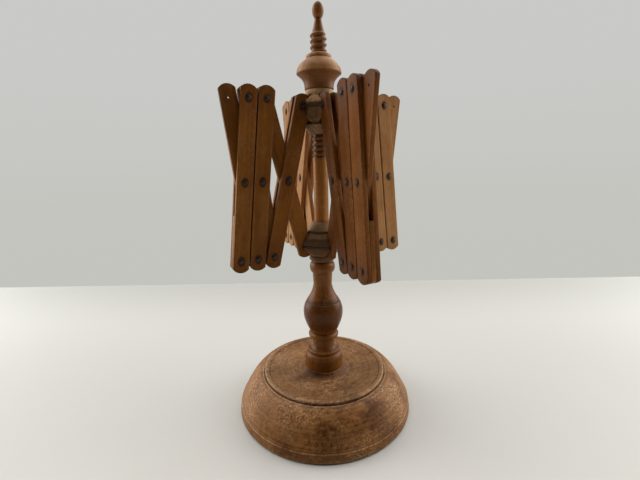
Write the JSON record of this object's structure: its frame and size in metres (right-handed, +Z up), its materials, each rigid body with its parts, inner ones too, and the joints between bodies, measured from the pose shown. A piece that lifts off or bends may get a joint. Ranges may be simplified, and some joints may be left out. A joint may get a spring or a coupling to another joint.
{
  "type": "table-top yarn swift",
  "caption": "Turned wooden table-top yarn swift: a stand with a post, two hubs, folding lazy-tongs arms and a bulb nut that presses the upper hub down to open the arms.",
  "frame": {"origin": "centre of the underside of the base", "axes": "+Z up the post; the four arms point along +X, +Y, -X and -Y at rest"},
  "size_m": [0.1864, 0.1864, 0.4001],
  "materials": {
    "worn_base_wood": "old oiled finish, worn dull, with pale scuffs and dark stains",
    "turned_wood": "satin turned hardwood, darkened in the grooves",
    "hub_wood": "dull turned hardwood with sawn flats",
    "slat_wood": "satin straight-grained slats with worn edges",
    "dark_iron": "dark hand-set iron, slightly rusted"
  },
  "bodies": {
    "stand": {"base": "worn_base_wood", "post": "turned_wood"},
    "lower_hub": {"lower_hub": "hub_wood", "lower_hub_wire": "dark_iron"},
    "upper_hub": {"upper_hub": "hub_wood", "upper_hub_wire": "dark_iron"},
    "nut": {"nut": "turned_wood"},
    "arm1_middle_1": {"arm1_middle_slat_1": "slat_wood"},
    "arm1_pair_1": {"arm1_left_slat_1": "slat_wood", "arm1_right_slat_1": "slat_wood", "arm1_rivets_1": "dark_iron"},
    "arm1_middle_2": {"arm1_middle_slat_2": "slat_wood"},
    "arm1_pair_2": {"arm1_left_slat_2": "slat_wood", "arm1_right_slat_2": "slat_wood", "arm1_rivets_2": "dark_iron"},
    "arm1_middle_3": {"arm1_middle_slat_3": "slat_wood"},
    "arm1_pair_3": {"arm1_left_slat_3": "slat_wood", "arm1_right_slat_3": "slat_wood", "arm1_rivets_3": "dark_iron", "arm1_spacer": "slat_wood"},
    "arm2_middle_1": {"arm2_middle_slat_1": "slat_wood"},
    "arm2_pair_1": {"arm2_left_slat_1": "slat_wood", "arm2_right_slat_1": "slat_wood", "arm2_rivets_1": "dark_iron"},
    "arm2_middle_2": {"arm2_middle_slat_2": "slat_wood"},
    "arm2_pair_2": {"arm2_left_slat_2": "slat_wood", "arm2_right_slat_2": "slat_wood", "arm2_rivets_2": "dark_iron"},
    "arm2_middle_3": {"arm2_middle_slat_3": "slat_wood"},
    "arm2_pair_3": {"arm2_left_slat_3": "slat_wood", "arm2_right_slat_3": "slat_wood", "arm2_rivets_3": "dark_iron", "arm2_spacer": "slat_wood"},
    "arm3_middle_1": {"arm3_middle_slat_1": "slat_wood"},
    "arm3_pair_1": {"arm3_left_slat_1": "slat_wood", "arm3_right_slat_1": "slat_wood", "arm3_rivets_1": "dark_iron"},
    "arm3_middle_2": {"arm3_middle_slat_2": "slat_wood"},
    "arm3_pair_2": {"arm3_left_slat_2": "slat_wood", "arm3_right_slat_2": "slat_wood", "arm3_rivets_2": "dark_iron"},
    "arm3_middle_3": {"arm3_middle_slat_3": "slat_wood"},
    "arm3_pair_3": {"arm3_left_slat_3": "slat_wood", "arm3_right_slat_3": "slat_wood", "arm3_rivets_3": "dark_iron", "arm3_spacer": "slat_wood"},
    "arm4_middle_1": {"arm4_middle_slat_1": "slat_wood"},
    "arm4_pair_1": {"arm4_left_slat_1": "slat_wood", "arm4_right_slat_1": "slat_wood", "arm4_rivets_1": "dark_iron"},
    "arm4_middle_2": {"arm4_middle_slat_2": "slat_wood"},
    "arm4_pair_2": {"arm4_left_slat_2": "slat_wood", "arm4_right_slat_2": "slat_wood", "arm4_rivets_2": "dark_iron"},
    "arm4_middle_3": {"arm4_middle_slat_3": "slat_wood"},
    "arm4_pair_3": {"arm4_left_slat_3": "slat_wood", "arm4_right_slat_3": "slat_wood", "arm4_rivets_3": "dark_iron", "arm4_spacer": "slat_wood"}
  },
  "joints": [
    {"name": "swift_spin", "type": "hinge", "parent": "stand", "child": "lower_hub", "pos_m": [0, 0, 0.1789], "axis": [0, 0, 1], "continuous": true},
    {"name": "lattice_open", "type": "hinge", "parent": "lower_hub", "child": "arm1_middle_1", "pos_m": [0.0204, 0, 0.1789], "axis": [0, 1, 0], "range_deg": [0, 33]},
    {"name": "arm1_crossing_1", "type": "hinge", "parent": "arm1_middle_1", "child": "arm1_pair_1", "pos_m": [0.03632, 0, 0.2447], "axis": [0, 1, 0], "range_deg": [-66.5, 0]},
    {"name": "upper_hub_pivot", "type": "hinge", "parent": "arm1_pair_1", "child": "upper_hub", "pos_m": [0.0204, 0, 0.3105], "axis": [0, 1, 0], "range_deg": [0, 33.5]},
    {"name": "arm1_top_pivot_1", "type": "hinge", "parent": "arm1_middle_1", "child": "arm1_pair_2", "pos_m": [0.05339, 0, 0.31526], "axis": [0, 1, 0], "range_deg": [-73.26, 0]},
    {"name": "arm1_crossing_2", "type": "hinge", "parent": "arm1_pair_2", "child": "arm1_middle_2", "pos_m": [0.06134, 0, 0.2447], "axis": [0, 1, 0], "range_deg": [0, 80.02]},
    {"name": "arm1_top_pivot_2", "type": "hinge", "parent": "arm1_middle_2", "child": "arm1_pair_3", "pos_m": [0.06929, 0, 0.31526], "axis": [0, 1, 0], "range_deg": [-80.02, 0]},
    {"name": "arm1_crossing_3", "type": "hinge", "parent": "arm1_pair_3", "child": "arm1_middle_3", "pos_m": [0.07724, 0, 0.2447], "axis": [0, 1, 0], "range_deg": [0, 80.02]},
    {"name": "arm2_lower_pivot", "type": "hinge", "parent": "lower_hub", "child": "arm2_middle_1", "pos_m": [0, 0.0204, 0.1789], "axis": [-1, 0, 0], "range_deg": [0, 33.5]},
    {"name": "arm2_crossing_1", "type": "hinge", "parent": "arm2_middle_1", "child": "arm2_pair_1", "pos_m": [0, 0.03632, 0.2447], "axis": [-1, 0, 0], "range_deg": [-66.5, 0]},
    {"name": "arm2_top_pivot_1", "type": "hinge", "parent": "arm2_middle_1", "child": "arm2_pair_2", "pos_m": [0, 0.05339, 0.31526], "axis": [-1, 0, 0], "range_deg": [-73.26, 0]},
    {"name": "arm2_crossing_2", "type": "hinge", "parent": "arm2_pair_2", "child": "arm2_middle_2", "pos_m": [0, 0.06134, 0.2447], "axis": [-1, 0, 0], "range_deg": [0, 80.02]},
    {"name": "arm2_top_pivot_2", "type": "hinge", "parent": "arm2_middle_2", "child": "arm2_pair_3", "pos_m": [0, 0.06929, 0.31526], "axis": [-1, 0, 0], "range_deg": [-80.02, 0]},
    {"name": "arm2_crossing_3", "type": "hinge", "parent": "arm2_pair_3", "child": "arm2_middle_3", "pos_m": [0, 0.07724, 0.2447], "axis": [-1, 0, 0], "range_deg": [0, 80.02]},
    {"name": "arm3_lower_pivot", "type": "hinge", "parent": "lower_hub", "child": "arm3_middle_1", "pos_m": [-0.0204, 0, 0.1789], "axis": [0, -1, 0], "range_deg": [0, 33.5]},
    {"name": "arm3_crossing_1", "type": "hinge", "parent": "arm3_middle_1", "child": "arm3_pair_1", "pos_m": [-0.03632, 0, 0.2447], "axis": [0, -1, 0], "range_deg": [-66.5, 0]},
    {"name": "arm3_top_pivot_1", "type": "hinge", "parent": "arm3_middle_1", "child": "arm3_pair_2", "pos_m": [-0.05339, 0, 0.31526], "axis": [0, -1, 0], "range_deg": [-73.26, 0]},
    {"name": "arm3_crossing_2", "type": "hinge", "parent": "arm3_pair_2", "child": "arm3_middle_2", "pos_m": [-0.06134, 0, 0.2447], "axis": [0, -1, 0], "range_deg": [0, 80.02]},
    {"name": "arm3_top_pivot_2", "type": "hinge", "parent": "arm3_middle_2", "child": "arm3_pair_3", "pos_m": [-0.06929, 0, 0.31526], "axis": [0, -1, 0], "range_deg": [-80.02, 0]},
    {"name": "arm3_crossing_3", "type": "hinge", "parent": "arm3_pair_3", "child": "arm3_middle_3", "pos_m": [-0.07724, 0, 0.2447], "axis": [0, -1, 0], "range_deg": [0, 80.02]},
    {"name": "arm4_lower_pivot", "type": "hinge", "parent": "lower_hub", "child": "arm4_middle_1", "pos_m": [0, -0.0204, 0.1789], "axis": [1, 0, 0], "range_deg": [0, 33.5]},
    {"name": "arm4_crossing_1", "type": "hinge", "parent": "arm4_middle_1", "child": "arm4_pair_1", "pos_m": [0, -0.03632, 0.2447], "axis": [1, 0, 0], "range_deg": [-66.5, 0]},
    {"name": "arm4_top_pivot_1", "type": "hinge", "parent": "arm4_middle_1", "child": "arm4_pair_2", "pos_m": [0, -0.05339, 0.31526], "axis": [1, 0, 0], "range_deg": [-73.26, 0]},
    {"name": "arm4_crossing_2", "type": "hinge", "parent": "arm4_pair_2", "child": "arm4_middle_2", "pos_m": [0, -0.06134, 0.2447], "axis": [1, 0, 0], "range_deg": [0, 80.02]},
    {"name": "arm4_top_pivot_2", "type": "hinge", "parent": "arm4_middle_2", "child": "arm4_pair_3", "pos_m": [0, -0.06929, 0.31526], "axis": [1, 0, 0], "range_deg": [-80.02, 0]},
    {"name": "arm4_crossing_3", "type": "hinge", "parent": "arm4_pair_3", "child": "arm4_middle_3", "pos_m": [0, -0.07724, 0.2447], "axis": [1, 0, 0], "range_deg": [0, 80.02]},
    {"name": "nut_turn", "type": "hinge", "parent": "upper_hub", "child": "nut", "pos_m": [0, 0, 0.3262], "axis": [0, 0, 1], "range_deg": [-2777.68, 0]}
  ],
  "couplings": [
    {"joint": "arm1_crossing_1", "follows": "lattice_open", "ratio": -2},
    {"joint": "upper_hub_pivot", "follows": "lattice_open", "ratio": 1},
    {"joint": "arm1_top_pivot_1", "follows": "lattice_open", "ratio": -2.2048},
    {"joint": "arm1_crossing_2", "follows": "lattice_open", "ratio": 2.4096},
    {"joint": "arm1_top_pivot_2", "follows": "lattice_open", "ratio": -2.4096},
    {"joint": "arm1_crossing_3", "follows": "lattice_open", "ratio": 2.4096},
    {"joint": "arm2_lower_pivot", "follows": "lattice_open", "ratio": 1},
    {"joint": "arm2_crossing_1", "follows": "lattice_open", "ratio": -2},
    {"joint": "arm2_top_pivot_1", "follows": "lattice_open", "ratio": -2.2048},
    {"joint": "arm2_crossing_2", "follows": "lattice_open", "ratio": 2.4096},
    {"joint": "arm2_top_pivot_2", "follows": "lattice_open", "ratio": -2.4096},
    {"joint": "arm2_crossing_3", "follows": "lattice_open", "ratio": 2.4096},
    {"joint": "arm3_lower_pivot", "follows": "lattice_open", "ratio": 1},
    {"joint": "arm3_crossing_1", "follows": "lattice_open", "ratio": -2},
    {"joint": "arm3_top_pivot_1", "follows": "lattice_open", "ratio": -2.2048},
    {"joint": "arm3_crossing_2", "follows": "lattice_open", "ratio": 2.4096},
    {"joint": "arm3_top_pivot_2", "follows": "lattice_open", "ratio": -2.4096},
    {"joint": "arm3_crossing_3", "follows": "lattice_open", "ratio": 2.4096},
    {"joint": "arm4_lower_pivot", "follows": "lattice_open", "ratio": 1},
    {"joint": "arm4_crossing_1", "follows": "lattice_open", "ratio": -2},
    {"joint": "arm4_top_pivot_1", "follows": "lattice_open", "ratio": -2.2048},
    {"joint": "arm4_crossing_2", "follows": "lattice_open", "ratio": 2.4096},
    {"joint": "arm4_top_pivot_2", "follows": "lattice_open", "ratio": -2.4096},
    {"joint": "arm4_crossing_3", "follows": "lattice_open", "ratio": 2.4096},
    {"joint": "nut_turn", "follows": "lattice_open", "ratio": -84.157}
  ]
}
